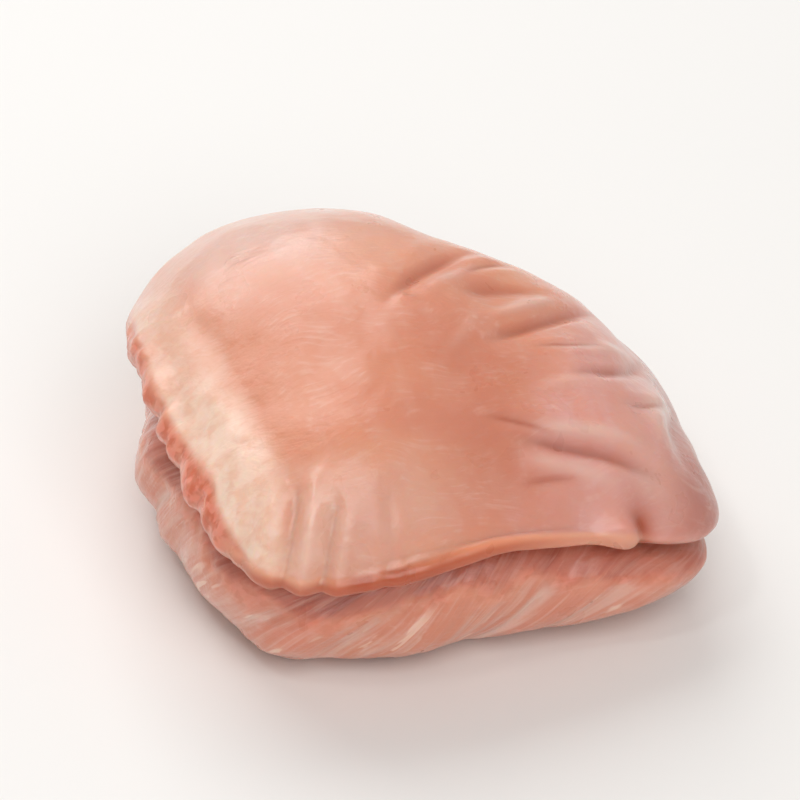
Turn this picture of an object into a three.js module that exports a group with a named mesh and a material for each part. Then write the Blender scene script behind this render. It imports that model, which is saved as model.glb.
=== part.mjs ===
// A raw boneless, skinless chicken thigh, folded in two with its skin side up.
// Millimetres, +Z up. The origin is the middle of the underside's box. +X runs along the front
// margin to the wrinkled end, and +Y runs back from that margin.
//
// The whole piece is one closed skin. Going round it is an angle, turn, counted from +X. Going down
// it is a meridian: a smooth curve from the crown over the shoulder to the upper layer's margin,
// into the cleft between the two layers, out again over the lower layer, and along the sole.

import * as THREE from "three";
import { ParametricGeometry } from "three/addons/geometries/ParametricGeometry.js";
import { mergeVertices } from "three/addons/utils/BufferGeometryUtils.js";

// Driving dimensions
const LENGTH = 74.5;
const WIDTH = 72.5;
const HEIGHT = 39;
const LIP_HEIGHT = 22;
const LIP_HALF_THICKNESS = 1.9;
const CLEFT_DEPTH = 15;
const CLEFT_GAP = 1.6;
const SHOULDER_DROP = 5.5;
const END_FALL = 8.6;
const SOLE_INSET = 13;
const PRESSED_FLAT = 0.9;
const ROLL_HEIGHT = 1.1;
const RAGGED_HEIGHT = 0.4;
const FAT_THICKNESS = 1;

// Fineness of the skin
const TURN_STEPS = 116;
const DOWN_STEPS = 50;

// Stations count down a meridian, one for each of the rings that steer it.
const SHOULDER_STATION = 4.8;
const RAGGED_STATION = 5.6;
const MARGIN_STATION = 6;
const FURROW_STATION = 11;

const DEGREE = Math.PI / 180;
const MEAT_COLOUR = 0xd9967c;

// The plan is a soft polygon. Each side has the direction that it faces, in degrees, and its
// distance from the middle.
const CORNER_SHARPNESS = 8;
const SIDES = [
  { name: "wrinkled end", faces: -13, distance: 37 },
  { name: "back right, well rounded", faces: 44, distance: 31 },
  { name: "back", faces: 92, distance: 37.5 },
  { name: "back left", faces: 134, distance: 39 },
  { name: "fat margin", faces: 171, distance: 31.5 },
  { name: "front left", faces: 222, distance: 43 },
  { name: "front margin", faces: 270, distance: 34 },
  { name: "front right", faces: 314, distance: 46 },
];

// The fold is open round the front left corner, and closed round the back and the wrinkled end.
const FOLD_MIDDLE = 222;
const FOLD_HALF = 88;
const FOLD_FADE = 20;

// The fat band and its ragged edge lie along the left side, up to a corner, and the thin roll along
// the front from that corner on: middle and spread in degrees, and the turns of the corner.
const LEFT_SIDE = { turn: 186, spread: 46 };
const FRONT_SIDE = { turn: 262, spread: 40 };
const CORNER = { start: 206, end: 222 };

// Bumps round the turn: middle and spread in degrees, and height. The upper layer's margin is high
// on the fat side, hangs at the front left corner and falls towards the wrinkled end.
const LIP_WAVE = [
  { turn: 168, spread: 30, height: 3 },
  { turn: 268, spread: 16, height: 1.8 },
  { turn: 229, spread: 16, height: -1.6 },
  { turn: 312, spread: 18, height: -2.4 },
];

// The lower layer reaches out under the front margin and on the left, and draws back under the
// front left corner.
const LOWER_WAVE = [
  { turn: 290, spread: 22, height: 1.2 },
  { turn: 262, spread: 9, height: -0.7 },
  { turn: 229, spread: 24, height: -2.2 },
  { turn: 199, spread: 10, height: 0.8 },
  { turn: 170, spread: 16, height: 2.2 },
];

// The wrinkled end hangs out and down at the front right corner.
const TAIL = [{ turn: 313, spread: 15, height: 6 }];

// At the front left corner the cleft is shallower, by a share of its depth.
const SHALLOWER_CLEFT = [{ turn: 229, spread: 24, height: 0.35 }];

// Broad swells and hollows of the upper face: plan position, reach and height.
const SWELLS = [
  { x: -8, y: 14, reach: 20, height: 2.4 },
  { x: 24, y: -14, reach: 10, height: 1.2 },
  { x: -16, y: -20, reach: 11, height: 0.9 },
  { x: 11, y: -12, reach: 11, height: -1.5 },
  { x: 20, y: 10, reach: 9, height: 0.9 },
];

// Wrinkles of the upper face: from, to, half-width, depth and how far they bow out.
const WRINKLES = [
  { from: [-4, -1], to: [13, 9], half: 1.6, depth: 0.6, bow: 0.4 },
  { from: [7, 0], to: [20, 1], half: 2.6, depth: 0.45, bow: 0.2 },
  { from: [6, -10], to: [27, 0], half: 1.7, depth: 0.7, bow: -0.8 },
  { from: [15, -16], to: [32, -6], half: 1.6, depth: 0.5, bow: -2.4 },
  { from: [4, -24], to: [23, -29], half: 1.6, depth: 0.8, bow: 0.3 },
  { from: [12, 18], to: [24, 30], half: 2.0, depth: 0.5, bow: 1.0 },
  { from: [22, 6], to: [34, 13], half: 1.9, depth: 0.5, bow: 0.4 },
  { from: [-25, -22], to: [-31, -30], half: 1.4, depth: 0.6, bow: 0.3 },
  { from: [-21, -25], to: [-27, -33], half: 1.3, depth: 0.5, bow: 0.3 },
];
const WRINKLE_RIDGE = 0.4;

// The fat band lies left of a line that crosses the X axis at minus this, and leans with Y. The
// knot at the end of the front roll is at a plan position, with a reach and a height.
const FAT_EDGE = { x: 25.5, lean: 0.1 };
const KNOT = { x: 16, y: -34, reach: 3.2, height: 1.8 };

// Creases of the sole, in the same form, where the tucked margins press on it.
const SOLE_CREASES = [
  { from: [-36, 6], to: [30, 24], half: 2.6, depth: 2.4, bow: 1.2 },
  { from: [36, -4], to: [-26, -27], half: 2.4, depth: 2.0, bow: 1.2 },
];

// Furrows that part the muscle bundles of the lower layer: turn half-way down it, half-width and
// depth. They slant round it by so many degrees a station.
const FURROWS = [
  { turn: 143, half: 7, depth: 0.5 },
  { turn: 173, half: 6, depth: 1.0 },
  { turn: 187, half: 4, depth: 0.4 },
  { turn: 216, half: 6, depth: 0.9 },
  { turn: 239, half: 7, depth: 1.1 },
  { turn: 277, half: 9, depth: 0.9 },
  { turn: 291, half: 4, depth: 0.5 },
  { turn: 312, half: 6, depth: 0.6 },
];
const FURROW_SLANT = 8;

const smooth = (low, high, value) => THREE.MathUtils.smoothstep(value, low, high);
const bell = (distance, reach) => Math.exp(-((distance / reach) ** 2));

// The signed difference between two turns, in degrees, from -180 to 180.
function turnGap(turn, middle) {
  return THREE.MathUtils.euclideanModulo(turn - middle + 180, 360) - 180;
}

// Distance from the middle to the plan's edge. Each side pulls in what lies beyond it.
function planRadius(turn) {
  let pull = 0;
  for (const side of SIDES) {
    const facing = Math.cos((turn - side.faces) * DEGREE);
    if (facing > 0) pull += (facing / side.distance) ** CORNER_SHARPNESS;
  }
  return pull ** (-1 / CORNER_SHARPNESS);
}

// 1 where the fold is open and 0 where it is closed.
function foldOpening(turn) {
  const gap = Math.abs(turnGap(turn, FOLD_MIDDLE));
  return 1 - smooth(FOLD_HALF - FOLD_FADE, FOLD_HALF + FOLD_FADE, gap);
}

// 0 on the left side and 1 from the front left corner on.
function pastCorner(turn) {
  return smooth(CORNER.start, CORNER.end, turn);
}

function waveAt(bumps, turn) {
  return bumps.reduce((sum, bump) => sum + bump.height * bell(turnGap(turn, bump.turn), bump.spread), 0);
}

// The rings that steer a meridian, from the crown to the middle of the sole, as radius and height.
// Each has a place for the open fold and one for the closed fold, and open mixes the two. The sole's
// rings lie a little below the board, and what would sink into it is pressed flat.
function meridianRings(turn) {
  const edge = planRadius(turn);
  const open = foldOpening(turn);
  const end = 0.5 + 0.5 * Math.cos(turn * DEGREE);
  const fall = END_FALL * end * end;
  const lip = LIP_HEIGHT + waveAt(LIP_WAVE, turn);
  const roof = lip - LIP_HALF_THICKNESS;
  const depth = CLEFT_DEPTH * (1 - waveAt(SHALLOWER_CLEFT, turn));
  const tail = waveAt(TAIL, turn);
  const lower = tail + waveAt(LOWER_WAVE, turn);
  const mix = (closed, opened) => closed + (opened - closed) * open;
  return [
    [0, HEIGHT],
    [0.3 * edge, HEIGHT - 0.3 - 0.15 * fall],
    [0.56 * edge, HEIGHT - 1.6 - 0.45 * fall],
    [edge - 7.5, HEIGHT - SHOULDER_DROP - 0.8 * fall],
    [edge - mix(1.6, 1.8) + 0.2 * tail, HEIGHT - 2.1 * SHOULDER_DROP - fall],
    [edge + mix(0.4, 0.2) + 0.5 * tail, mix(21, lip + 2.6) - 0.6 * fall],
    [edge + mix(0.8, 0.5) + 0.7 * tail, mix(18, lip) - 0.5 * fall],
    [edge - mix(-0.6, 3.2) + 0.8 * tail, mix(15.5, roof) - 0.4 * fall],
    [edge - mix(0, depth) + 0.8 * tail, mix(13, roof - 0.5 * CLEFT_GAP) - 0.3 * fall],
    [edge - mix(0.8, 5.2) + 0.9 * tail, mix(10.5, roof - CLEFT_GAP) - 0.2 * fall],
    [edge - mix(2, 1.8) + lower, mix(8, lip - 6.2)],
    [edge - mix(4, 0.2) + lower, mix(5, 9)],
    [edge - mix(7.5, 3.6) + lower - 0.2 * tail, mix(1.6, 2.6)],
    [edge - SOLE_INSET, -PRESSED_FLAT],
    [0.5 * edge, -PRESSED_FLAT],
    [0, -PRESSED_FLAT],
  ];
}

// A point of the meridian and its outward normal, on the uniform cubic B-spline of its rings.
function meridianAt(rings, station) {
  const last = rings.length - 1;
  const first = Math.min(Math.floor(station), last - 1);
  const t = station - first;
  const ring = (index) => {
    const mirrored = index < 0 ? -index : index > last ? 2 * last - index : index;
    const [radius, height] = rings[mirrored];
    return [mirrored === index ? radius : -radius, height];
  };
  const weights = [(1 - t) ** 3, 3 * t ** 3 - 6 * t * t + 4, -3 * t ** 3 + 3 * t * t + 3 * t + 1, t ** 3];
  const slopes = [-3 * (1 - t) ** 2, 9 * t * t - 12 * t, -9 * t * t + 6 * t + 3, 3 * t * t];
  const point = { radius: 0, height: 0, outward: 0, upward: 0 };
  for (let k = 0; k < 4; k += 1) {
    const [radius, height] = ring(first - 1 + k);
    point.radius += (weights[k] * radius) / 6;
    point.height += (weights[k] * height) / 6;
    point.outward -= slopes[k] * height;
    point.upward += slopes[k] * radius;
  }
  const size = Math.hypot(point.outward, point.upward);
  point.outward /= size;
  point.upward /= size;
  return point;
}

// Relief of a wrinkle at a plan position: a valley across its bowed line that fades in and out
// along it, with a ridge on either side of a share of its depth.
function wrinkleAt(wrinkle, x, y, ridgeShare) {
  const along = [wrinkle.to[0] - wrinkle.from[0], wrinkle.to[1] - wrinkle.from[1]];
  const size = Math.hypot(along[0], along[1]);
  const away = [x - wrinkle.from[0], y - wrinkle.from[1]];
  const share = (away[0] * along[0] + away[1] * along[1]) / (size * size);
  const across = (away[0] * along[1] - away[1] * along[0]) / size;
  const bent = across + wrinkle.bow * Math.sin(Math.PI * share);
  const fade = smooth(-0.05, 0.4, share) * (1 - smooth(0.65, 1.15, share));
  const valley = bell(bent, wrinkle.half);
  const ridges = bell(Math.abs(bent) - 2.1 * wrinkle.half, wrinkle.half);
  return fade * wrinkle.depth * (ridgeShare * ridges - valley);
}

// How far the ragged edge stands out at a place along Y: two waves, the shorter one uneven.
function raggedEdge(y) {
  return RAGGED_HEIGHT * (Math.sin(1.15 * y + 1.3 * Math.sin(0.4 * y)) + Math.sin(0.71 * y + 1.9));
}

// Relief of the upper layer: swells, wrinkles that end above the girth, the fat band along the left
// margin, its ragged edge, the thin roll along the front margin and the knot at that roll's end.
function upperRelief(turn, station, x, y) {
  let relief = 0;
  for (const swell of SWELLS) relief += swell.height * bell(Math.hypot(x - swell.x, y - swell.y), swell.reach);
  const aboveGirth = 1 - smooth(5, 7.5, station);
  for (const wrinkle of WRINKLES) relief += aboveGirth * wrinkleAt(wrinkle, x, y, WRINKLE_RIDGE);

  const left = bell(turnGap(turn, LEFT_SIDE.turn), LEFT_SIDE.spread) * foldOpening(turn);
  relief += FAT_THICKNESS * left * (1 - smooth(-2, 2, x + FAT_EDGE.x - FAT_EDGE.lean * y));
  relief += left * (1 - pastCorner(turn)) * bell(station - RAGGED_STATION, 1.1) * raggedEdge(y);

  const nearFront = bell(turnGap(turn, FRONT_SIDE.turn), FRONT_SIDE.spread) * (1 - smooth(10, 18, x));
  const roll = bell(station - MARGIN_STATION, 0.5) - bell(station - SHOULDER_STATION, 0.5);
  relief += ROLL_HEIGHT * pastCorner(turn) * nearFront * roll;
  relief += KNOT.height * bell(Math.hypot(x - KNOT.x, y - KNOT.y), KNOT.reach) * bell(station - 5.4, 1.2);
  return relief;
}

// Relief of the lower layer: furrows between its muscle bundles, with low banks.
function lowerRelief(turn, station) {
  const slanted = turn + FURROW_SLANT * (station - FURROW_STATION);
  let relief = 0;
  for (const furrow of FURROWS) {
    const gap = turnGap(slanted, furrow.turn);
    relief -= furrow.depth * bell(gap, furrow.half);
    relief += 0.35 * furrow.depth * bell(Math.abs(gap) - 2 * furrow.half, furrow.half);
  }
  return relief;
}

// Relief of the sole: creases only, and none near its middle, so that the rest of it stays flat.
function soleRelief(x, y) {
  let relief = 0;
  for (const crease of SOLE_CREASES) relief += wrinkleAt(crease, x, y, 0);
  return relief * smooth(11, 17, Math.hypot(x, y));
}

const LAST_STATION = meridianRings(0).length - 1;

// The skin at a share down and a share round.
function thighSkin(down, round, target) {
  const turn = 360 * (round % 1);
  const station = LAST_STATION * down;
  const point = meridianAt(meridianRings(turn), station);
  const x = point.radius * Math.cos(turn * DEGREE);
  const y = point.radius * Math.sin(turn * DEGREE);
  const open = foldOpening(turn);
  const upper = 1 - smooth(7 - 0.8 * open, 11.5 - 3.9 * open, station);
  const lower = open * smooth(9, 10.4, station) * (1 - smooth(11, 12.4, station));
  const sole = smooth(11.5, 13, station);
  let relief = upper * upperRelief(turn, station, x, y);
  relief += lower * lowerRelief(turn, station) + sole * soleRelief(x, y);
  const radius = point.radius + relief * point.outward;
  const height = Math.max(0, point.height + relief * point.upward);
  target.set(radius * Math.cos(turn * DEGREE), radius * Math.sin(turn * DEGREE), height);
}

// Fits the skin to the driving dimensions, with the origin in the middle of its underside.
function fitToSize(geometry) {
  geometry.computeBoundingBox();
  const size = geometry.boundingBox.getSize(new THREE.Vector3());
  const middle = geometry.boundingBox.getCenter(new THREE.Vector3());
  geometry.translate(-middle.x, -middle.y, -geometry.boundingBox.min.z);
  geometry.scale(LENGTH / size.x, WIDTH / size.y, HEIGHT / size.z);
  return geometry;
}

function makeThigh() {
  const skin = new ParametricGeometry(thighSkin, DOWN_STEPS, TURN_STEPS);
  skin.deleteAttribute("normal");
  skin.deleteAttribute("uv");
  const geometry = fitToSize(mergeVertices(skin, 1e-4));
  geometry.computeVertexNormals();
  const meat = new THREE.MeshStandardMaterial({ color: MEAT_COLOUR, roughness: 0.38, metalness: 0 });
  const mesh = new THREE.Mesh(geometry, meat);
  mesh.name = "thigh";
  return mesh;
}

const chickenThigh = new THREE.Group();
chickenThigh.name = "chicken_thigh";
chickenThigh.add(makeThigh());

export default chickenThigh;
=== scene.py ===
"""A raw boneless, skinless chicken thigh, folded in two with its smooth side up, on a pale floor."""

import math
from collections import namedtuple

import bpy
import numpy as np
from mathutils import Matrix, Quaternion, Vector


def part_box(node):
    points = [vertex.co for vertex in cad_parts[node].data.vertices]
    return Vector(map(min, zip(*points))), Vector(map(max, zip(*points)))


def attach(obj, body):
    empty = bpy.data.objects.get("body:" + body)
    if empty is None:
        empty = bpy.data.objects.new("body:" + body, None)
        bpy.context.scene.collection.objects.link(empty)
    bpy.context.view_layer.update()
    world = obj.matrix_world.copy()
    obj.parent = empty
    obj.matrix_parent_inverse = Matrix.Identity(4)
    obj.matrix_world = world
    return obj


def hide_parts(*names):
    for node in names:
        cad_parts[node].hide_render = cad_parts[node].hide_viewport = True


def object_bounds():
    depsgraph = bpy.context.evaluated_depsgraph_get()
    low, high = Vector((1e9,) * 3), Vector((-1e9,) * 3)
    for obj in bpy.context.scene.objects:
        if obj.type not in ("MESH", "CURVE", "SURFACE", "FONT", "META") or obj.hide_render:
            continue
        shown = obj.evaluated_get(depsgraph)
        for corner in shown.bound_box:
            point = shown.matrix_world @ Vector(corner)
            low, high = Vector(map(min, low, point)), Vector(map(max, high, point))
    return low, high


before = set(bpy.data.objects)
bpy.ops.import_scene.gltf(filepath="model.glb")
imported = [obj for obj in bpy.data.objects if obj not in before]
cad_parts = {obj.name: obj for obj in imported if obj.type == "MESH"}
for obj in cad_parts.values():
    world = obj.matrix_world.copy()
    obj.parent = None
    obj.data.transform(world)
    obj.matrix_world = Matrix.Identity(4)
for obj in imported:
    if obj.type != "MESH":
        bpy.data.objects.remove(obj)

CAD_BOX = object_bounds()

# The thigh's own sizes, in millimetres, as the solid has them
HEIGHT = 39.0
LIP_HEIGHT = 22.0
CLEFT_DEPTH = 15.0
CLEFT_GAP = 1.6
SHOULDER_DROP = 5.5
END_FALL = 8.6
SOLE_INSET = 13.0
PRESSED_FLAT = 0.9
LIP_HALF_THICKNESS = 1.9
ROLL_HEIGHT = 1.1
RAGGED_HEIGHT = 0.4
FAT_THICKNESS = 1.0

# A meridian runs down the skin from the top's middle, at station 0, to the sole's middle, at station
# 15. At each whole station it passes one of the 16 rings that steer it.

# Fineness of the skin: its steps round, and its rows from each station to the next
TURN_STEPS = 416
ROWS_PER_STATION = [20, 20, 19, 18, 17, 17, 17, 15, 14, 14, 15, 14, 13, 12, 8]

# The plan is a soft polygon: the direction that each side faces, in degrees, and its distance
CORNER_SHARPNESS = 8
SIDES = {
    "wrinkled end": (-13, 37),
    "back right, well rounded": (44, 31),
    "back": (92, 37.5),
    "back left": (134, 39),
    "fat margin": (171, 31.5),
    "front left": (222, 43),
    "front margin": (270, 34),
    "front right": (314, 46),
}

# The fold is open round the front left corner, and closed round the back and the wrinkled end
FOLD_MIDDLE = 222
FOLD_HALF = 88
FOLD_FADE = 20

# The fat side and the front side: middle and reach in degrees. From the one to the other the
# margin is ragged up to the first of the corner's turns, and rolled from the second on.
LEFT_SIDE = (186, 46)
FRONT_SIDE = (262, 40)
CORNER = (206, 222)

# Bumps round the turn: middle and spread in degrees, and height. The upper layer's margin is high
# on the fat side, hangs at the front left corner and falls towards the wrinkled end.
LIP_WAVE = [(168, 30, 3.0), (268, 16, 1.8), (229, 16, -1.6), (312, 18, -2.4)]

# The lower layer reaches out under the front margin and draws back under the front left corner
LOWER_WAVE = [(290, 22, 1.2), (262, 9, -0.7), (229, 24, -2.2), (199, 10, 0.8), (170, 16, 2.2)]

# The wrinkled end hangs out and down at the front right corner
TAIL = [(313, 15, 6.0)]

# At the front left corner the cleft is shallower, by a share of its depth
SHALLOWER_CLEFT = [(229, 24, 0.35)]

# Broad swells and hollows of the upper face: plan position, reach and height
SWELLS = [
    ((-8, 14), 20, 2.4),
    ((24, -14), 10, 1.2),
    ((-16, -20), 11, 0.9),
    ((11, -12), 11, -1.5),
    ((20, 10), 9, 0.9),
]

# Wrinkles of the upper face: from, to, half-width, depth and how far they bow out
WRINKLES = [
    ((-4, -1), (13, 9), 1.6, 0.6, 0.4),
    ((7, 0), (20, 1), 2.6, 0.45, 0.2),
    ((6, -10), (27, 0), 1.7, 0.7, -0.8),
    ((15, -16), (32, -6), 1.6, 0.5, -2.4),
    ((4, -24), (23, -29), 1.6, 0.8, 0.3),
    ((12, 18), (24, 30), 2.0, 0.5, 1.0),
    ((22, 6), (34, 13), 1.9, 0.5, 0.4),
    ((-25, -22), (-31, -30), 1.4, 0.6, 0.3),
    ((-21, -25), (-27, -33), 1.3, 0.5, 0.3),
]
WRINKLE_RIDGE = 0.4
CORNER_FOLDS = WRINKLES[-2:]

# Finer wrinkles that only this surface has, in the same form
FINE_WRINKLES = [
    ((1, -21), (10, -24), 0.7, 0.25, 0.2),
    ((3, -29), (11, -29), 0.7, 0.25, 0.2),
    ((12, -11), (24, -9), 0.6, 0.25, -0.4),
    ((9, 3), (18, 7), 0.7, 0.30, 0.3),
    ((22, -20), (30, -15), 0.7, 0.25, -0.8),
    ((35, -11), (28, -26), 1.3, 0.55, -1.0),
    ((-29, -20), (-35, -26), 0.7, 0.20, 0.3),
    ((-15, -27), (-18, -35), 0.7, 0.18, 0.4),
    ((16, 14), (29, 22), 0.7, 0.25, 0.6),
]

# Pale strands of fascia that stand a little proud beside the wrinkles, in the same form. Their
# paleness is partly a painted highlight on these ridges.
STRANDS = [
    ((2, 0), (13, 5), 0.8, 0.22, 0.3),
    ((9, -5), (22, 0), 0.8, 0.35, -0.3),
    ((0, -11), (8, -4), 0.7, 0.10, -0.4),
    ((17, -11), (29, -7), 0.9, 0.30, -0.6),
    ((10, -18), (19, -17), 0.8, 0.15, 0.2),
    ((6, -23), (22, -26), 0.9, 0.35, 0.4),
    ((3, -26), (17, -30), 0.9, 0.25, 0.2),
    ((32, -12), (26, -24), 1.6, 0.50, -1.2),
    ((-23, -23), (-29, -32), 0.8, 0.35, 0.2),
    ((-20, -27), (-25, -34), 0.7, 0.20, 0.2),
    ((14, 16), (25, 26), 0.8, 0.20, 0.6),
]

# Creases of the sole, where the tucked margins press on it
SOLE_CREASES = [
    ((-36, 6), (30, 24), 2.6, 2.4, 1.2),
    ((36, -4), (-26, -27), 2.4, 2.0, 1.2),
]

# Furrows that part the muscle bundles of the lower layer: turn half-way down it, half-width and
# depth. They slant round it by so many degrees a station.
FURROWS = [
    (143, 7, 0.5),
    (173, 6, 1.0),
    (187, 4, 0.4),
    (216, 6, 0.9),
    (239, 7, 1.1),
    (277, 9, 0.9),
    (291, 4, 0.5),
    (312, 6, 0.6),
]
FURROW_SLANT = 8

# Stations of the upper layer's shoulder, its ragged edge, its margin, and the furrows' middle
SHOULDER_STATION = 4.8
RAGGED_STATION = 5.6
MARGIN_STATION = 6.0
FURROW_STATION = 11

# The fat band lies left of a line that crosses the X axis at minus this, and leans with Y. The
# knot at the end of the front roll is at a plan position, with a reach and a height.
FAT_EDGE, FAT_LEAN = 25.5, 0.1
KNOT = ((16, -34), 3.2, 1.8)

# A notch beside the knot, only on this surface: plan position, reach and depth
NOTCH = ((18.5, -34), 1.7, 0.9)

# Along the lower layer's fibres a place is counted in millimetres a station, and across them on a
# circle of about the layer's own radius, which has no seam
FIBRE_RUN = 4.0
FIBRE_RADIUS = 37.8

# Finer relief that only this surface has: size of each noise, height, and seed
LUMPS = [(15.0, 0.55, 3), (6.5, 0.20, 5), (2.6, 0.05, 7)]
FAT_LOBES = [(4.4, 0.15, 11), (1.6, 0.04, 12)]
SHREDS = [(4.6, 0.40, 13), (1.9, 0.26, 18), (0.9, 0.20, 14)]
ROLL_LUMPS = [(2.6, 0.22, 15)]
RIM_LUMPS = [(2.6, 0.30, 16)]
RIM_HEIGHT = 0.15
SEAM_DEPTH, SEAM_REACH = 0.3, 1.6

# Noises drawn out along the fibres: size, height, seed, and the share by which the way along counts
FOLD_STRANDS = (2.6, 0.40, 17, 0.20)
BUNDLES = (5.0, 0.28, 21, 0.22)
FIBRES = (1.8, 0.16, 22, 0.16)

# Ridges beside the fine wrinkles, the sharp bottoms of the others and the strands, as shares of
# their depth
FINE_RIDGE = 0.5
BOTTOM_RIDGE = 0.3
STRAND_RIDGE = 0.2

# The groove above the front roll: depth, station and reach in stations
GROOVE = (0.16, 5.25, 0.2)

# Noises that make the borders of the tissues wander. Where the fat ends and the shreds begin is a
# station, which is lower past the front left corner and higher at one turn, with a reach in degrees
# and a height in stations.
WANDER = [(9.0, 1.0, 19), (3.5, 0.5, 23)]
FAT_ENDS = 4.9
HIGHER_SHREDS = (203, 11, 0.55)

# Strands of fascia are palest from this height on, in millimetres, so that the taller ridges carry a
# painted highlight
PALE_STRAND = 0.35

# Stations of the cleft's bottom, of the rim where its inside ends, and from where to where the
# wrinkles fade below the girth, the margin ends under the lip and the relief calms at the sole
CLEFT_STATION = 8
RIM_STATION = 10.25
GIRTH_FADE = (5.0, 7.5)
MARGIN_END = (6.9, 7.6)
CALM_SOLE = (12.4, 13.2)

# Tints of the upper face, in soft spots: plan position, reach along X and Y, and strength
# The first milky spot, at the top left, is a painted sheen; the other two are milky film
MILKY_AND_SHEEN = [((-10, 22), (18, 12), 1.0), ((-16, -29), (9, 5), 0.45), ((22, -29), (4, 3.5), 0.4)]
PEACHY = [((-19, -5), (14, 15), 1.0)]
# The warmer spots are redder, thicker meat, and partly painted shade right of the middle
WARMER_AND_SHADED = [((4, -13), (11, 12), 1.0), ((1, -26), (6, 6), 0.5)]
FATTY_CORNER = [((-25, -27), (6, 6), 0.45)]
REDDER = [((18.5, -32.5), (3, 3), 0.6)]

# View and light
CAMERA_AZIMUTH = -30.0
CAMERA_ELEVATION = 38.5
CAMERA_ROLL = 6.0
CAMERA_DISTANCE = 1.58
FRAME_SHARE = 1.0
SENSOR = 36.0

# Lamps: azimuth and elevation in degrees, distance and side in metres, and power in watts
LAMPS = {
    "window": (-178, 45, 0.9, 0.8, 5.2),
    "front_fill": (-14, 48, 1.2, 0.9, 7.0),
    "glint": (-75, 62, 0.9, 0.09, 0.5),
}
SKY_TINT = (1.0, 0.99, 0.98, 1.0)
SKY_STRENGTH = 0.38


def smooth(low, high, value):
    """0 below low and 1 above high, along 3t^2 - 2t^3 between them."""
    t = np.clip((value - low) / (high - low), 0, 1)
    return t * t * (3 - 2 * t)


def bell(distance, reach):
    """The bell curve exp(-(distance / reach)^2)."""
    return np.exp(-((distance / reach) ** 2))


def lumps(points, kinds):
    """Sum of soft noises, each with its size, height and seed."""
    return sum(tall * soft_noise(points, size, seed) for size, tall, seed in kinds)


def drawn_out(lay, kind):
    """Soft noise over the fibres' lay that changes more slowly along them."""
    size, tall, seed, share = kind
    return tall * soft_noise(lay * (1, 1, share), size, seed)


def spots(x, y, places):
    """Sum of bells over the plan, each with its position, reach along X and Y, and strength."""
    total = np.zeros_like(x)
    for at, reach, strength in places:
        total += strength * bell(np.hypot((x - at[0]) / reach[0], (y - at[1]) / reach[1]), 1)
    return total


def turn_gap(turn, middle):
    """The signed difference between two turns, in degrees, from -180 to 180."""
    return (turn - middle + 180) % 360 - 180


def soft_noise(points, size, seed):
    """Smooth noise from about -1 to 1: a random slope at each corner of cubes of the given size,
    and between the corners the slopes' heights blended by 6t^5 - 15t^4 + 10t^3 along each axis."""
    rng = np.random.default_rng(seed)
    order = rng.permutation(256)
    slopes = rng.normal(size=(256, 3))
    slopes /= np.linalg.norm(slopes, axis=1, keepdims=True)
    scaled = points / size
    cell = np.floor(scaled).astype(int)
    local = scaled - cell
    fade = local**3 * (local * (local * 6 - 15) + 10)
    total = np.zeros(points.shape[:-1])
    for corner in np.ndindex(2, 2, 2):
        a, b, c = (cell + corner)[..., 0], (cell + corner)[..., 1], (cell + corner)[..., 2]
        key = order[(order[(order[a & 255] + b) & 255] + c) & 255]
        weight = np.prod(np.where(corner, fade, 1 - fade), axis=-1)
        total += weight * np.sum(slopes[key] * (local - corner), axis=-1)
    return 1.7 * total


def plan_radius(turn):
    """Distance from the middle to the plan's edge: (sum of (cos(turn - faces) / distance)^n over
    the sides that face that way)^(-1/n)."""
    pull = np.zeros_like(turn)
    for faces, distance in SIDES.values():
        facing = np.maximum(np.cos(np.radians(turn - faces)), 0)
        pull += (facing / distance) ** CORNER_SHARPNESS
    return pull ** (-1 / CORNER_SHARPNESS)


def fold_opening(turn):
    """1 where the fold is open, 0 where it is closed, with a smooth fade between."""
    gap = np.abs(turn_gap(turn, FOLD_MIDDLE))
    return 1 - smooth(FOLD_HALF - FOLD_FADE, FOLD_HALF + FOLD_FADE, gap)


def past_corner(turn):
    """0 on the left side, where the margin is ragged, and 1 from the front left corner on."""
    return smooth(*CORNER, turn)


def wave_at(bumps, turn):
    """Sum of bells round the turn, each with its middle, spread and height."""
    return sum(height * bell(turn_gap(turn, middle), spread) for middle, spread, height in bumps)


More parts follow.
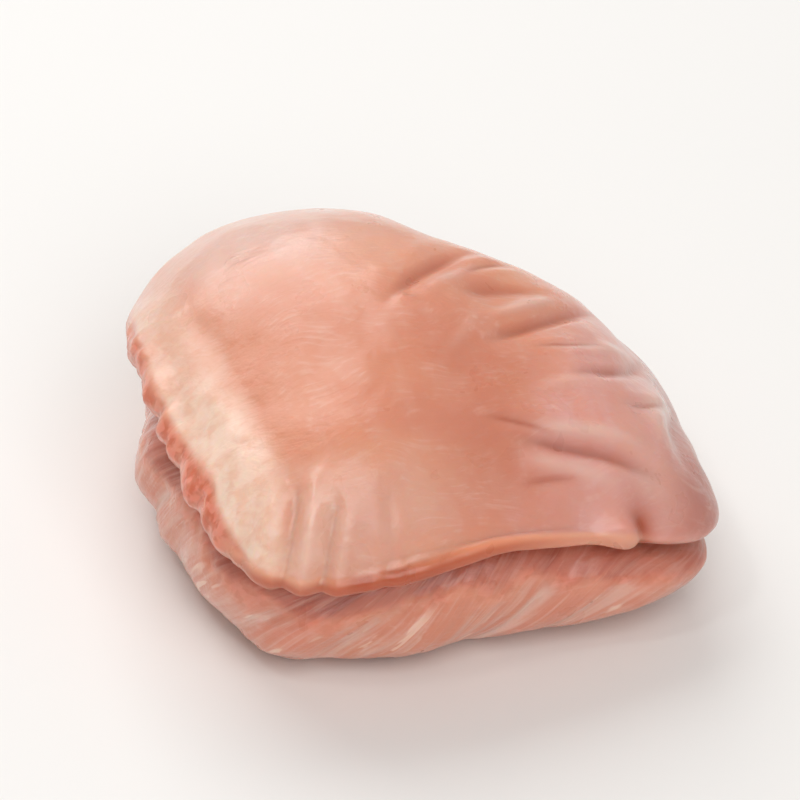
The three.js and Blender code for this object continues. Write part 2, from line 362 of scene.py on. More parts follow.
def meridian_rings(turn):
    """Radius and height of the 16 rings that steer the meridians, one column for each turn. Each
    ring has a place for the closed fold and one for the open fold, mixed by fold_opening. The
    sole's rings lie a little below the floor, and what would sink into it is pressed flat."""
    edge = plan_radius(turn)
    opening = fold_opening(turn)
    end = 0.5 + 0.5 * np.cos(np.radians(turn))
    fall = END_FALL * end * end
    lip = LIP_HEIGHT + wave_at(LIP_WAVE, turn)
    under_lip = lip - LIP_HALF_THICKNESS
    depth = CLEFT_DEPTH * (1 - wave_at(SHALLOWER_CLEFT, turn))
    tail = wave_at(TAIL, turn)
    lower = tail + wave_at(LOWER_WAVE, turn)

    def mix(closed, opened):
        return closed + (opened - closed) * opening

    rings = [
        (0, HEIGHT),
        (0.3 * edge, HEIGHT - 0.3 - 0.15 * fall),
        (0.56 * edge, HEIGHT - 1.6 - 0.45 * fall),
        (edge - 7.5, HEIGHT - SHOULDER_DROP - 0.8 * fall),
        (edge - mix(1.6, 1.8) + 0.2 * tail, HEIGHT - 2.1 * SHOULDER_DROP - fall),
        (edge + mix(0.4, 0.2) + 0.5 * tail, mix(21, lip + 2.6) - 0.6 * fall),
        (edge + mix(0.8, 0.5) + 0.7 * tail, mix(18, lip) - 0.5 * fall),
        (edge - mix(-0.6, 3.2) + 0.8 * tail, mix(15.5, under_lip) - 0.4 * fall),
        (edge - mix(0, depth) + 0.8 * tail, mix(13, under_lip - 0.5 * CLEFT_GAP) - 0.3 * fall),
        (edge - mix(0.8, 5.2) + 0.9 * tail, mix(10.5, under_lip - CLEFT_GAP) - 0.2 * fall),
        (edge - mix(2, 1.8) + lower, mix(8, lip - 6.2)),
        (edge - mix(4, 0.2) + lower, mix(5, 9)),
        (edge - mix(7.5, 3.6) + lower - 0.2 * tail, mix(1.6, 2.6)),
        (edge - SOLE_INSET, -PRESSED_FLAT),
        (0.5 * edge, -PRESSED_FLAT),
        (0, -PRESSED_FLAT),
    ]
    return np.array([[np.broadcast_to(value, turn.shape) for value in ring] for ring in rings])


def meridians(rings, station):
    """Radius, height and outward normal on the uniform cubic B-splines of the rings, one row for
    each station. The first and last ring are mirrored across the axis, which closes the poles."""
    across = np.array([-1, 1])[:, None]
    rings = np.concatenate([[rings[1] * across], rings, [rings[-2] * across]])
    first = np.minimum(station.astype(int), len(rings) - 4)
    t = (station - first)[:, None, None]
    weights = [(1 - t) ** 3, 3 * t**3 - 6 * t * t + 4, -3 * t**3 + 3 * t * t + 3 * t + 1, t**3]
    slopes = [-3 * (1 - t) ** 2, 9 * t * t - 12 * t, -9 * t * t + 6 * t + 3, 3 * t * t]
    place = sum(weight * rings[first + k] for k, weight in enumerate(weights)) / 6
    run = sum(slope * rings[first + k] for k, slope in enumerate(slopes))
    size = np.hypot(run[:, 0], run[:, 1])
    return place[:, 0], place[:, 1], -run[:, 1] / size, run[:, 0] / size


def wrinkle(line, x, y, ridge_share):
    """Relief of one wrinkle: a bell across its bowed line that fades in along it, with a ridge on
    either side of a share of its depth."""
    start, end, half, depth, bow = line
    along = np.subtract(end, start)
    size = np.hypot(*along)
    share = ((x - start[0]) * along[0] + (y - start[1]) * along[1]) / size**2
    across = ((x - start[0]) * along[1] - (y - start[1]) * along[0]) / size
    bent = across + bow * np.sin(np.pi * share)
    fade = smooth(-0.05, 0.4, share) * (1 - smooth(0.65, 1.15, share))
    ridges = bell(np.abs(bent) - 2.1 * half, half)
    return fade * depth * (ridge_share * ridges - bell(bent, half))


def narrowed(line):
    """The sharp bottom of a wrinkle: 0.42 of its half-width and 0.7 of its depth."""
    start, end, half, depth, bow = line
    return start, end, 0.42 * half, 0.7 * depth, bow


def upper_relief(turn, station, x, y):
    """Relief of the upper layer: swells, wrinkles, the fat band along the left margin, its ragged
    edge, the thin roll along the front margin and the knot at that roll's end."""
    relief = sum(height * bell(np.hypot(x - at[0], y - at[1]), reach) for at, reach, height in SWELLS)
    above_girth = 1 - smooth(*GIRTH_FADE, station)
    relief += above_girth * sum(wrinkle(line, x, y, WRINKLE_RIDGE) for line in WRINKLES)

    left = bell(turn_gap(turn, LEFT_SIDE[0]), LEFT_SIDE[1]) * fold_opening(turn)
    relief += FAT_THICKNESS * left * (1 - smooth(-2, 2, x + FAT_EDGE - FAT_LEAN * y))
    ragged = np.sin(1.15 * y + 1.3 * np.sin(0.4 * y)) + np.sin(0.71 * y + 1.9)
    ragged *= (1 - past_corner(turn)) * bell(station - RAGGED_STATION, 1.1)
    relief += RAGGED_HEIGHT * left * ragged

    front = bell(turn_gap(turn, FRONT_SIDE[0]), FRONT_SIDE[1])
    front = past_corner(turn) * (1 - smooth(10, 18, x)) * front
    roll = bell(station - MARGIN_STATION, 0.5) - bell(station - SHOULDER_STATION, 0.5)
    relief += ROLL_HEIGHT * front * roll
    at, reach, tall = KNOT
    relief += tall * bell(np.hypot(x - at[0], y - at[1]), reach) * bell(station - 5.4, 1.2)
    return relief


def slanted(turn, station):
    """The turn at which a bundle of the lower layer that passes here is half-way down it."""
    return turn + FURROW_SLANT * (station - FURROW_STATION)


def lower_relief(turn, station):
    """Relief of the lower layer: furrows between its muscle bundles, with low banks."""
    relief = np.zeros_like(turn)
    for middle, half, depth in FURROWS:
        gap = turn_gap(slanted(turn, station), middle)
        relief += depth * (0.35 * bell(np.abs(gap) - 2 * half, half) - bell(gap, half))
    return relief


def sole_relief(x, y):
    """Creases of the sole, none within 11 mm of its middle."""
    creases = sum(wrinkle(line, x, y, 0) for line in SOLE_CREASES)
    return creases * smooth(11, 17, np.hypot(x, y))


# What the relief and the tissues are worked out from, at each point: its turn and station, its
# place before any relief, how far the fold is open, the shares of the upper and lower layer, and
# how much the borders wander there
Skin = namedtuple("Skin", "turn station x y base opening upper lower wander")


def thigh_skin():
    """The skin's points, in millimetres, as rows down by columns round, and the shares of each
    tissue at them. Each point is its meridian's, moved along the meridian's normal by the relief."""
    station = np.concatenate([k + np.arange(rows) / rows for k, rows in enumerate(ROWS_PER_STATION)])
    station = np.append(station, float(len(ROWS_PER_STATION)))
    turns = np.arange(TURN_STEPS) * 360 / TURN_STEPS
    radius, height, outward, upward = meridians(meridian_rings(turns), station)
    turn, station = np.meshgrid(turns, station)
    cosine, sine = np.cos(np.radians(turn)), np.sin(np.radians(turn))
    x, y = radius * cosine, radius * sine
    base = np.stack([x, y, height], axis=-1)
    opening = fold_opening(turn)
    upper = 1 - smooth(7 - 0.8 * opening, 11.5 - 3.9 * opening, station)
    lower = opening * smooth(9, 10.4, station) * (1 - smooth(11.0, 12.4, station))
    skin = Skin(turn, station, x, y, base, opening, upper, lower, lumps(base, WANDER))
    tissue = tissues(skin)

    relief = upper * upper_relief(turn, station, x, y)
    relief += lower * lower_relief(turn, station)
    relief += smooth(11.5, 13, station) * sole_relief(x, y)
    relief += fine_relief(skin, tissue)

    radius = radius + relief * outward
    height = np.maximum(0, height + relief * upward)
    points = np.stack([radius * cosine, radius * sine, height], axis=-1)
    return points, tissue


def fine_relief(skin, tissue):
    """Relief that the solid leaves out: low lumps, fine wrinkles, strands of fascia, the groove
    above the front roll, the notch, the lobes of the fat, the shreds of the ragged edge, and the
    bundles and fibres of the bare muscle. It is calm in the cleft and on the sole."""
    x, y, station = skin.x, skin.y, skin.station
    cleft = skin.opening * bell(station - CLEFT_STATION, 1.3)
    calm = (1 - 0.85 * cleft) * (1 - smooth(*CALM_SOLE, station))
    above_girth = skin.upper * (1 - smooth(*GIRTH_FADE, station))
    deep, middle, reach = GROOVE
    groove = skin.opening * bell(station - middle, reach)
    groove *= past_corner(skin.turn) * (1 - smooth(14, 22, x))

    relief = calm * lumps(skin.base, LUMPS)
    relief += skin.upper * sum(wrinkle(line, x, y, FINE_RIDGE) for line in FINE_WRINKLES)
    relief += above_girth * sum(wrinkle(narrowed(line), x, y, BOTTOM_RIDGE) for line in WRINKLES)
    relief -= above_girth * sum(wrinkle(line, x, y, STRAND_RIDGE) for line in STRANDS)
    relief -= deep * groove
    relief -= NOTCH[2] * skin.upper * notch(station, x, y)

    relief += skin.upper * tissue["fat"] * lumps(skin.base, FAT_LOBES)
    relief += tissue["ragged"] * lumps(skin.base, SHREDS)
    relief += tissue["roll"] * lumps(skin.base * (0.5, 1, 1), ROLL_LUMPS)
    relief += tissue["rim"] * (RIM_HEIGHT + lumps(skin.base, RIM_LUMPS))
    relief -= SEAM_DEPTH * skin.lower * tissue["seam"]

    lay = 1000 * tissue["lay"]
    relief += calm * tissue["inner"] * drawn_out(lay, FOLD_STRANDS)
    relief += calm * tissue["spine"] * drawn_out(lay, BUNDLES)
    relief += calm * tissue["flank"] * drawn_out(lay, FIBRES)
    return relief


def tissues(skin):
    """Shares from 0 to 1 of what covers or makes up the meat, by name. The last one, lay, isn't a
    share but a place."""
    shares = fat_and_margin(skin)
    shares.update(upper_face(skin, shares["fat"]))
    shares.update(bare_muscle(skin))
    return shares


def fat_and_margin(skin):
    """Shares of the fat band, which fades towards the back as painted shade, and of the upper layer's
    margin, which is ragged as far as the front left corner and then a roll whose rusty underside is
    partly painted shade."""
    turn, station, x, y, wander = skin.turn, skin.station, skin.x, skin.y, skin.wander
    left = smooth(62, 46, np.abs(turn_gap(turn, LEFT_SIDE[0])))
    corner = past_corner(turn)
    below = skin.opening * (1 - smooth(*MARGIN_END, station))
    ends = FAT_ENDS + 0.3 * wander + 0.5 * corner - wave_at([HIGHER_SHREDS], turn)

    inner_edge = 1 - smooth(-2.4, 3.0, x + FAT_EDGE - FAT_LEAN * y + 1.1 * wander)
    fat = left * np.maximum(inner_edge, spots(x, y, FATTY_CORNER))
    fat *= 1 - smooth(ends - 0.3, ends + 0.3, station)
    # Painted shade: the fat band's cream fades towards the back
    fat *= 1 - 0.42 * smooth(-8, 12, y)
    fat *= 1 - 0.3 * np.clip(sum(valley(line, x, y) for line in CORNER_FOLDS), 0, 1)

    front = below * corner * (1 - smooth(12, 22, x))
    return {
        "fat": fat,
        "ragged": below * left * (1 - corner) * smooth(ends - 0.3, ends + 0.4, station),
        "roll": front * smooth(5.1, 5.4, station),
        "under": front * smooth(5.3, 5.75, station),
    }


def upper_face(skin, fat):
    """Shares of the upper face's tints, of its creases with painted shade, of its pale strands with a
    painted highlight, and of painted sheen and shade.
    """
    station, x, y, upper = skin.station, skin.x, skin.y, skin.upper
    # Painted shade in the wrinkles' bottoms and the notch, with a redder spot beside the knot
    crease = sum(valley(line, x, y) for line in WRINKLES + FINE_WRINKLES)
    crease = np.clip(crease, 0, 1) + 1.4 * notch(station, x, y) + spots(x, y, REDDER)
    # Pale where a strand stands tall: partly a painted highlight on its ridge
    strand_and_highlight = -sum(wrinkle(line, x, y, 0) for line in STRANDS) / PALE_STRAND
    return {
        "fascia": upper * smooth(15, 29, x - 0.55 * y + 3 * skin.wander),
        # Painted shade on the wrinkled end's steep right side
        "painted_end_shade": smooth(28, 38, x - 0.25 * y) * smooth(2.6, 4.6, station),
        "milk_and_sheen": upper * spots(x, y, MILKY_AND_SHEEN),
        "peach": upper * spots(x, y, PEACHY),
        "warm_and_shade": upper * np.clip(spots(x, y, WARMER_AND_SHADED), 0, 1),
        "crease": upper * crease * (0.05 + 0.95 * smooth(-16, -6, x)) * (1 - fat),
        "strand_and_highlight": upper * np.clip(strand_and_highlight, 0, 1),
    }


def bare_muscle(skin):
    """Shares of the fold's inside and rim, the lower layer's flank and its seams, the back that the
    fold turns round, and the sole. Lay is the place across and along the fibres, in metres."""
    station, opening, wander = skin.station, skin.opening, skin.wander
    rim_at = RIM_STATION + 0.3 * wander
    inner = smooth(*MARGIN_END, station) * (1 - smooth(rim_at - 0.25, rim_at + 0.15, station))
    spine = (1 - opening) * smooth(3.9, 7.8, station + 0.7 * wander)
    sole = smooth(12.4, 13.6, station + 0.3 * wander)
    flank = opening * smooth(rim_at - 0.2, rim_at + 0.5, station) + 0.75 * spine
    flank *= 1 - 0.85 * sole

    bundle = slanted(skin.turn, station)
    seams = sum(depth * bell(turn_gap(bundle, middle), SEAM_REACH) for middle, _, depth in FURROWS)
    across = np.radians(bundle)
    down = FIBRE_RUN * (station - FURROW_STATION)
    lay = [FIBRE_RADIUS * np.cos(across), FIBRE_RADIUS * np.sin(across), down]
    return {
        "rim": opening * bell(station - rim_at, 0.3),
        "inner": opening * inner,
        "spine": spine,
        "sole": sole,
        "flank": flank,
        "seam": flank * np.clip(seams, 0, 1) * (1 - smooth(12.0, 13.4, station)),
        "lay": np.stack(lay, axis=-1) / 1000,
    }


def notch(station, x, y):
    """Share from 0 to 1 of the notch beside the knot."""
    at, reach, _ = NOTCH
    at_margin = smooth(3.6, 4.6, station) * (1 - smooth(6, 7, station))
    return bell(np.hypot(x - at[0], y - at[1]), reach) * at_margin


def valley(line, x, y):
    """Share from 0 to 1 of a wrinkle's bottom, over half of its half-width, where the creases' painted
    shade lies.
    """
    start, end, half, _, bow = line
    return np.clip(-wrinkle((start, end, 0.5 * half, 1.0, bow), x, y, 0), 0, 1)


def mesh_from_grid(name, points, values):
    """A closed mesh from rows of points: each row joins to the next by quads round the loop, and
    the first and last rows, which are single points, close it by fans of triangles."""
    rows, columns = points.shape[:2]
    ring = points[1:-1].reshape(-1, 3)
    vertices = np.concatenate([points[0, :1], ring, points[-1, :1]])
    here = 1 + np.arange((rows - 2) * columns).reshape(rows - 2, columns)
    beside = np.roll(here, -1, axis=1)
    quads = np.stack([here[:-1], here[1:], beside[1:], beside[:-1]], axis=-1).reshape(-1, 4)
    last = len(vertices) - 1
    top = np.stack([np.zeros(columns, int), here[0], beside[0]], axis=-1)
    bottom = np.stack([np.full(columns, last), beside[-1], here[-1]], axis=-1)
    loops = np.concatenate([quads.ravel(), top.ravel(), bottom.ravel()])
    sizes = np.concatenate([np.full(len(quads), 4), np.full(2 * columns, 3)])

    mesh = bpy.data.meshes.new(name)
    mesh.vertices.add(len(vertices))
    mesh.loops.add(len(loops))
    mesh.polygons.add(len(sizes))
    mesh.vertices.foreach_set("co", vertices.astype(np.float32).ravel())
    mesh.loops.foreach_set("vertex_index", loops.astype(np.int32))
    starts = np.concatenate([[0], np.cumsum(sizes)[:-1]])
    mesh.polygons.foreach_set("loop_start", starts.astype(np.int32))
    mesh.update(calc_edges=True)
    mesh.shade_smooth()
    for key, value in values.items():
        flat = np.concatenate([value[0, :1], value[1:-1].reshape(-1, *value.shape[2:]), value[-1, :1]])
        kind, part = ("FLOAT", "value") if value.ndim == 2 else ("FLOAT_VECTOR", "vector")
        mesh.attributes.new(key, kind, "POINT").data.foreach_set(part, flat.astype(np.float32).ravel())
    return mesh


def fitted(points, low, high):
    """Points moved and scaled so that their box is the one from low to high."""
    least, most = points.min(axis=(0, 1)), points.max(axis=(0, 1))
    return low + (points - least) * (high - low) / (most - least)


def colour(red, green, blue):
    """Linear colour from the 0 to 255 values that a picture shows."""
    shares = np.array([red, green, blue]) / 255
    linear = np.where(shares <= 0.04045, shares / 12.92, ((shares + 0.055) / 1.055) ** 2.4)
    return (*linear.tolist(), 1.0)


class Recipe:
    """Short ways to add and join the nodes of one material."""

    def __init__(self, name):
        self.material = bpy.data.materials.new(name)
        self.material.use_nodes = True
        self.tree = self.material.node_tree
        self.shader = self.tree.nodes["Principled BSDF"]
        self.place = self.add("ShaderNodeTexCoord").outputs["Object"]

    def add(self, kind, settings=None, **inputs):
        """A new node, with its settings made and its inputs set or linked."""
        node = self.tree.nodes.new(kind)
        for key, value in (settings or {}).items():
            setattr(node, key, value)
        for key, value in inputs.items():
            self.give(node.inputs[key.replace("_", " ")], value)
        return node

    def give(self, socket, value):
        """Link an output to the socket, or set the socket to a number or colour."""
        if isinstance(value, bpy.types.NodeSocket):
            self.tree.links.new(value, socket)
        else:
            socket.default_value = value

    def attribute(self, name):
        """A share that the mesh carries under this name."""
        return self.add("ShaderNodeAttribute", {"attribute_name": name}).outputs["Fac"]

    def stretched(self, sizes_mm, turned=0.0, place=None):
        """A place, in metres, counted in cells of the given sizes and turned about Z."""
        node = self.add("ShaderNodeMapping")
        node.inputs["Scale"].default_value = [1000 / size for size in sizes_mm]
        turn = self.add("ShaderNodeMapping", Vector=place or self.place)
        turn.inputs["Rotation"].default_value[2] = math.radians(turned)
        self.tree.links.new(turn.outputs["Vector"], node.inputs["Vector"])
        return node.outputs["Vector"]

    def wavering(self, place, size_mm, reach_mm):
        """A place moved to and fro by noise, over waves of the given size, at most by the reach."""
        node = self.add("ShaderNodeTexNoise", Vector=self.stretched((size_mm,) * 3, place=place))
        node.inputs["Scale"].default_value = 1.0
        node.inputs["Detail"].default_value = 1.0
        shift = self.add("ShaderNodeVectorMath", {"operation": "SUBTRACT"})
        self.give(shift.inputs[0], node.outputs["Color"])
        self.give(shift.inputs[1], (0.5, 0.5, 0.5))
        moved = self.add("ShaderNodeVectorMath", {"operation": "MULTIPLY_ADD"})
        self.give(moved.inputs[0], shift.outputs["Vector"])
        self.give(moved.inputs[1], (2 * reach_mm / 1000,) * 3)
        self.give(moved.inputs[2], place)
        return moved.outputs["Vector"]

    def noise(self, sizes_mm, detail=2.0, distortion=0.0, turned=0.0, place=None):
        """Noise from 0 to 1, in lumps of the given sizes."""
        node = self.add("ShaderNodeTexNoise", Vector=self.stretched(sizes_mm, turned, place))
        node.inputs["Scale"].default_value = 1.0
        node.inputs["Detail"].default_value = detail
        node.inputs["Distortion"].default_value = distortion
        return node.outputs["Fac"]

    def ramp(self, value, low, high, start=0.0, stop=1.0):
        """From start to stop, along 3t^2 - 2t^3, while the value goes from low to high."""
        node = self.add("ShaderNodeMapRange", {"interpolation_type": "SMOOTHSTEP"}, Value=value)
        for key, number in zip(("From Min", "From Max", "To Min", "To Max"), (low, high, start, stop)):
            node.inputs[key].default_value = number
        return node.outputs["Result"]

    def combined(self, operation, first, second):
        """Two values put together by an operation."""
        node = self.add("ShaderNodeMath", {"operation": operation})
        self.give(node.inputs[0], first)
        self.give(node.inputs[1], second)
        return node.outputs[0]

    def sum_of(self, first, second):
        return self.combined("ADD", first, second)

    def product(self, first, second):
        return self.combined("MULTIPLY", first, second)

    def mix(self, share, under, over):
        """One colour laid over another, by a share."""
        node = self.add("ShaderNodeMix", {"data_type": "RGBA"})
        self.give(node.inputs[0], share)
        self.give(node.inputs[6], under)
        self.give(node.inputs[7], over)
        return node.outputs[2]

    def bump(self, height, depth_mm, strength, normal=None):
        """The normal of a relief of the given depth, over an earlier normal if there is one."""
        node = self.add("ShaderNodeBump", Height=height)
        node.inputs["Distance"].default_value = depth_mm / 1000
        node.inputs["Strength"].default_value = strength
        if normal is not None:
            self.tree.links.new(normal, node.inputs["Normal"])
        return node.outputs["Normal"]


# Colours of the tissues, and of the painted shade and highlights on them
PEACH = colour(227, 159, 128)
ROSE = colour(219, 147, 122)
APRICOT = colour(209, 132, 96)
# Colour of the redder thick meat, also used for painted shade right of the middle
BRICK_AND_SHADE = colour(200, 122, 97)
# Colour of the milky film, also used for the painted sheen at the top left
FILM_AND_SHEEN = colour(226, 188, 174)
LILAC = colour(222, 162, 152)
# Colour of the painted shade on the wrinkled end's steep side
SHADE_PLUM = colour(176, 107, 93)
CREAM = colour(242, 211, 191)
BLUSH = colour(231, 178, 150)
ORANGE = colour(206, 112, 82)
# Colour of the painted highlights on the ragged edge's shreds
CORAL_HIGHLIGHT = colour(226, 140, 118)
AMBER = colour(230, 146, 104)
# Colour of the rusty roll, also used for painted shade in the creases and under the roll
RUST_AND_SHADE = colour(180, 84, 52)
RAW = colour(196, 120, 102)
DEEP_RAW = colour(166, 86, 70)
SINEW = colour(238, 206, 192)
FLESH = colour(208, 130, 108)


# Shares that the material reads from the mesh
SHARES = [
    "fat", "ragged", "roll", "under", "rim", "inner", "fascia", "painted_end_shade", "milk_and_sheen", "peach", "warm_and_shade",
    "crease", "strand_and_highlight", "spine", "sole", "flank", "seam",
]

# Along the front roll, each from and to in metres of X: where its cream left end stops, where the
# rust on it begins and ends, where the roll grows paler, and where its underside does
CREAM_ENDS = (-0.029, -0.022)
RUST_BEGINS = (-0.028, -0.021)
RUST_ENDS = (-0.016, -0.006)
ROLL_PALES = (-0.010, 0.012)
UNDERSIDE_PALES = (-0.006, 0.010)

# The moist surface: roughness from wet to less wet, light that goes a little way into the meat,
# and a thin coat of juice
ROUGHNESS = (0.26, 0.42)
SURFACE = {
    "Subsurface Weight": 0.85,
    "Subsurface Radius": (1.0, 0.42, 0.26),
    "Subsurface Scale": 0.0015,
    "Coat Weight": 0.5,
    "Coat Roughness": 0.17,
    "Coat IOR": 1.36,
    "IOR": 1.42,
}


def meat_patterns(recipe):
    """Noises that break up the tints: mottle, veil, fibres along the piece, lobules of fat,
    dimples, wet patches and grain, and on the muscle's lay its sheaths, threads and flecks."""
    lay = recipe.add("ShaderNodeAttribute", {"attribute_name": "lay"}).outputs["Vector"]
    lay = recipe.wavering(lay, 11, 2.5)
    waving = recipe.wavering(recipe.place, 14, 5)
    return {
        "mottle": recipe.noise((18, 18, 18), 3, 0.5),
        "veil": recipe.noise((5, 9, 6), 3, 0.5),
        "fibres": recipe.noise((9, 0.7, 0.7), 3, 0.2, turned=8, place=waving),
        "lobules": recipe.noise((3.4, 2.2, 2.6), 3, 0.4),
        "dimples": recipe.noise((2.2, 1.4, 1.6), 2, 0.3),
        "wet": recipe.noise((7, 7, 7), 3, 0.4),
        "grain": recipe.noise((0.5, 0.5, 0.5), 3),
        "sheath": recipe.noise((3.2, 3.2, 15), 3, 0.6, place=lay),
        "threads": recipe.noise((0.8, 0.8, 16), 3, 0.2, place=lay),
        "flecks": recipe.noise((2.4, 2.4, 4.0), 2, 0.5, place=lay),
    }


def face_layers(recipe, share, pattern):
    """Tints of the upper face, each as the share that it covers and its colour. Some are painted: a
    sheen at the top left, and shade right of the middle and on the wrinkled end.
    """
    veil = pattern["veil"]
    return [
        # Redder thick meat, partly painted shade right of the middle
        (recipe.product(share["warm_and_shade"], 0.74), BRICK_AND_SHADE),
        (recipe.product(share["peach"], 0.85), APRICOT),
        (recipe.product(share["fascia"], recipe.ramp(veil, 0.3, 0.65, 0.6, 0.95)), LILAC),
        # Painted shade on the wrinkled end's steep side
        (recipe.product(share["painted_end_shade"], 0.8), SHADE_PLUM),
        # Milky film, and a painted sheen at the top left
        (recipe.product(share["milk_and_sheen"], recipe.ramp(veil, 0.3, 0.65, 0.8, 1.0)), FILM_AND_SHEEN),
        (recipe.ramp(veil, 0.45, 0.65, 0.0, 0.1), FILM_AND_SHEEN),
    ]


def muscle_layers(recipe, share, pattern):
    """Tints of the bare muscle, then the fibres, the strands with their painted highlight and the
    creases with their painted shade, over the whole.
    """
    flank, seam, sole = share["flank"], share["seam"], share["sole"]
    fibres, veil = pattern["fibres"], pattern["veil"]
    streaks = recipe.product(recipe.ramp(fibres, 0.48, 0.75), recipe.ramp(veil, 0.4, 0.6, 0.03, 0.18))
    return [
        (recipe.product(flank, 0.6), FLESH),
        (recipe.product(flank, recipe.ramp(pattern["sheath"], 0.48, 0.72, 0.0, 0.6)), FILM_AND_SHEEN),
        (recipe.product(flank, recipe.ramp(pattern["threads"], 0.45, 0.75, 0.0, 0.35)), SINEW),
        (recipe.product(flank, recipe.ramp(pattern["flecks"], 0.62, 0.70, 0.0, 0.7)), CREAM),
        (recipe.product(seam, recipe.ramp(pattern["flecks"], 0.35, 0.6, 0.15, 0.7)), SINEW),
        (recipe.product(share["spine"], recipe.ramp(veil, 0.42, 0.62, 0.0, 0.5)), FILM_AND_SHEEN),
        (recipe.product(sole, 0.55), FLESH),
        (recipe.product(sole, recipe.ramp(fibres, 0.45, 0.7, 0.0, 0.55)), FILM_AND_SHEEN),
        (streaks, SINEW),
        # Pale strands, partly a painted highlight on their ridges
        (recipe.product(share["strand_and_highlight"], 0.75), FILM_AND_SHEEN),
        # Painted shade in the creases and the notch, and a redder spot
        (recipe.product(share["crease"], 0.52), RUST_AND_SHADE),
    ]


def margin_layers(recipe, share, pattern):
    """Tints of the fat band, the ragged edge with painted highlights on its shreds, the front roll and
    the fold. The roll is cream at its left end, rusty next to that, and paler amber to the right, and
    its rusty underside is partly painted shade."""
    lobules, veil = pattern["lobules"], pattern["veil"]
    yellow = recipe.mix(recipe.ramp(lobules, 0.4, 0.65, 0.0, 0.5), CREAM, BLUSH)
    # Orange shreds, with painted coral highlights where the dimples' bumps stand high
    torn_with_painted_light = recipe.mix(recipe.ramp(pattern["dimples"], 0.42, 0.58), ORANGE, CORAL_HIGHLIGHT)
    torn_with_painted_light = recipe.mix(recipe.ramp(lobules, 0.45, 0.65, 0.0, 0.3), torn_with_painted_light, BLUSH)

    x = recipe.add("ShaderNodeSeparateXYZ", Vector=recipe.place).outputs["X"]
    cream_end = recipe.ramp(x, *CREAM_ENDS, 0.7, 0.0)
    paler = recipe.ramp(x, *ROLL_PALES, 0.1, 0.75)
    amber = recipe.mix(recipe.sum_of(cream_end, paler), AMBER, BLUSH)
    rusty = recipe.product(recipe.ramp(x, *RUST_BEGINS), recipe.ramp(x, *RUST_ENDS, 0.8, 0.0))
    rusty = recipe.product(rusty, recipe.ramp(lobules, 0.3, 0.6, 0.6, 1.0))

    raw = recipe.mix(recipe.ramp(pattern["sheath"], 0.3, 0.6), DEEP_RAW, RAW)
    raw = recipe.mix(recipe.ramp(pattern["threads"], 0.45, 0.75, 0.0, 0.25), raw, SINEW)
    return [
        (recipe.product(share["fat"], recipe.ramp(veil, 0.3, 0.55, 0.8, 1.0)), yellow),
        (recipe.product(share["ragged"], 0.9), torn_with_painted_light),
        (recipe.product(share["roll"], 0.85), amber),
        (recipe.product(share["roll"], rusty), RUST_AND_SHADE),
        # The roll's underside: rust, partly painted shade
        (recipe.product(share["under"], recipe.ramp(x, *UNDERSIDE_PALES, 0.8, 0.3)), RUST_AND_SHADE),
        (recipe.product(share["inner"], 0.9), raw),
        (recipe.product(share["rim"], recipe.ramp(pattern["flecks"], 0.4, 0.6, 0.15, 0.6)), torn_with_painted_light),
    ]


def meat_material():
    """Raw chicken meat: peach to rose under a milky veil, redder where it is thick and with painted
    shade right of the middle, with fine fibres along it, and with fat, fascia, redder bundles in the
    fold and painted shade in the creases, all moist, with a painted sheen at the top left."""
    recipe = Recipe("raw_meat")
    share = {name: recipe.attribute(name) for name in SHARES}
    pattern = meat_patterns(recipe)

    tone = recipe.mix(recipe.ramp(pattern["mottle"], 0.35, 0.7), PEACH, ROSE)
    for layers in (face_layers, muscle_layers, margin_layers):
        for covered, tint in layers(recipe, share, pattern):
            tone = recipe.mix(covered, tone, tint)
    shader = recipe.shader.inputs
    recipe.give(shader["Base Color"], tone)

    recipe.give(shader["Roughness"], recipe.ramp(pattern["wet"], 0.3, 0.7, *ROUGHNESS))
    for socket, value in SURFACE.items():
        shader[socket].default_value = value

    bare = recipe.sum_of(share["flank"], share["inner"])
    normal = recipe.bump(pattern["fibres"], 0.10, 0.6)
    normal = recipe.bump(recipe.product(pattern["threads"], bare), 0.25, 0.6, normal)
    normal = recipe.bump(recipe.product(pattern["lobules"], share["fat"]), 0.2, 0.5, normal)
    normal = recipe.bump(pattern["dimples"], 0.18, 0.8, normal)
    normal = recipe.bump(pattern["grain"], 0.04, 0.5, normal)
    recipe.give(shader["Normal"], normal)
    return recipe.material


def make_thigh():
    """The thigh: its skin, fitted to the solid's box, in the solid's place."""
    points, tissue = thigh_skin()
    low, high = (np.array(corner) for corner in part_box("thigh"))
    mesh = mesh_from_grid("thigh_meat", fitted(points, low, high), tissue)
    thigh = bpy.data.objects.new("thigh_meat", mesh)
    bpy.context.scene.collection.objects.link(thigh)
    mesh.materials.append(meat_material())
    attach(thigh, "root")
    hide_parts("thigh")


def make_floor():
    """A plain pale floor under the piece."""
    side = 3.0
    mesh = bpy.data.meshes.new("floor")
    corners = [(-side, -side, 0), (side, -side, 0), (side, side, 0), (-side, side, 0)]
    mesh.from_pydata(corners, [], [(0, 1, 2, 3)])
    floor = bpy.data.objects.new("floor", mesh)
    bpy.context.scene.collection.objects.link(floor)
    recipe = Recipe("pale_floor")
    recipe.shader.inputs["Base Color"].default_value = colour(238, 236, 233)
    recipe.shader.inputs["Roughness"].default_value = 0.6
    mesh.materials.append(recipe.material)


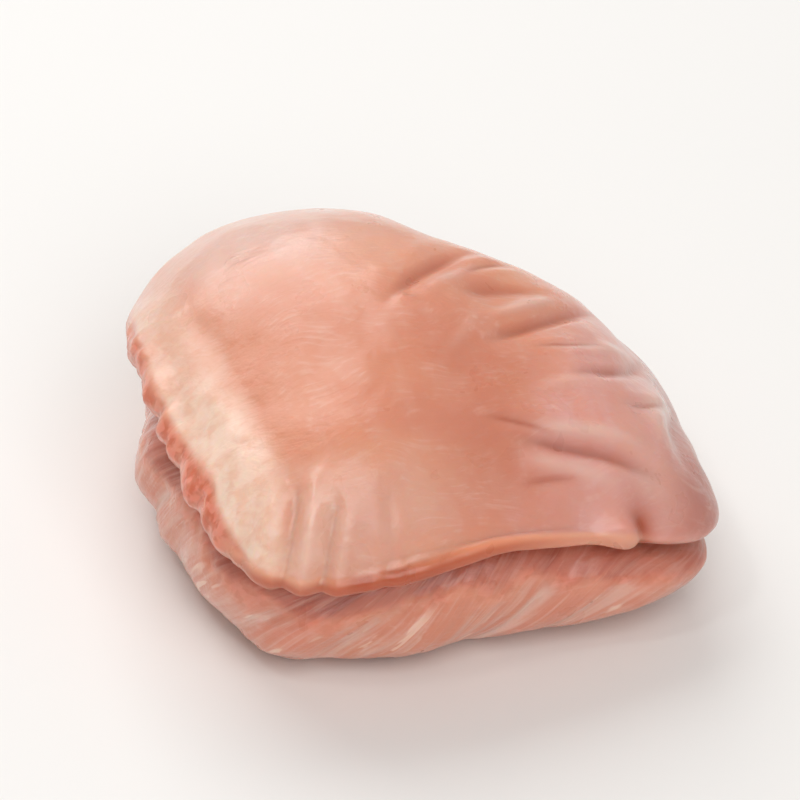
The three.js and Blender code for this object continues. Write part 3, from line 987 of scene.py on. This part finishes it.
def direction(azimuth, elevation):
    """The unit vector from the piece towards a viewer or a lamp at these angles. Azimuth 0 is in
    front, on the -Y side, and 90 is on the +X side."""
    a, e = math.radians(azimuth), math.radians(elevation)
    return Vector((math.sin(a) * math.cos(e), -math.cos(a) * math.cos(e), math.sin(e)))


def make_camera(target, reach):
    """The camera at the photograph's angle, far off with a long lens."""
    back = direction(CAMERA_AZIMUTH, CAMERA_ELEVATION)
    data = bpy.data.cameras.new("camera")
    data.sensor_width = SENSOR
    data.lens = SENSOR * CAMERA_DISTANCE * FRAME_SHARE / reach
    data.clip_start, data.clip_end = 0.05, 20
    camera = bpy.data.objects.new("camera", data)
    camera.location = target + back * CAMERA_DISTANCE
    camera.rotation_mode = "QUATERNION"
    roll = Quaternion((0, 0, 1), math.radians(CAMERA_ROLL))
    camera.rotation_quaternion = (-back).to_track_quat("-Z", "Y") @ roll
    bpy.context.scene.collection.objects.link(camera)
    bpy.context.scene.camera = camera


def make_lamp(name, azimuth, elevation, distance, size, power):
    """A square soft light that faces the piece."""
    data = bpy.data.lights.new(name, "AREA")
    data.size = size
    data.energy = power
    lamp = bpy.data.objects.new(name, data)
    back = direction(azimuth, elevation)
    lamp.location = back * distance
    lamp.rotation_mode = "QUATERNION"
    lamp.rotation_quaternion = (-back).to_track_quat("-Z", "Y")
    bpy.context.scene.collection.objects.link(lamp)


def make_studio():
    """A large lamp behind, a soft one in front, a small one for the glints, and a pale sky."""
    for name, values in LAMPS.items():
        make_lamp(name, *values)
    world = bpy.data.worlds.new("studio")
    world.use_nodes = True
    sky = world.node_tree.nodes["Background"].inputs
    sky["Color"].default_value = SKY_TINT
    sky["Strength"].default_value = SKY_STRENGTH
    scene = bpy.context.scene
    scene.world = world
    scene.view_settings.view_transform = "Standard"


def main():
    """The thigh on its floor, the camera and the lamps."""
    make_thigh()
    low, high = (Vector(corner) for corner in CAD_BOX)
    middle = (low + high) / 2
    make_camera(middle, (high - low).xy.length)
    make_floor()
    make_studio()


main()
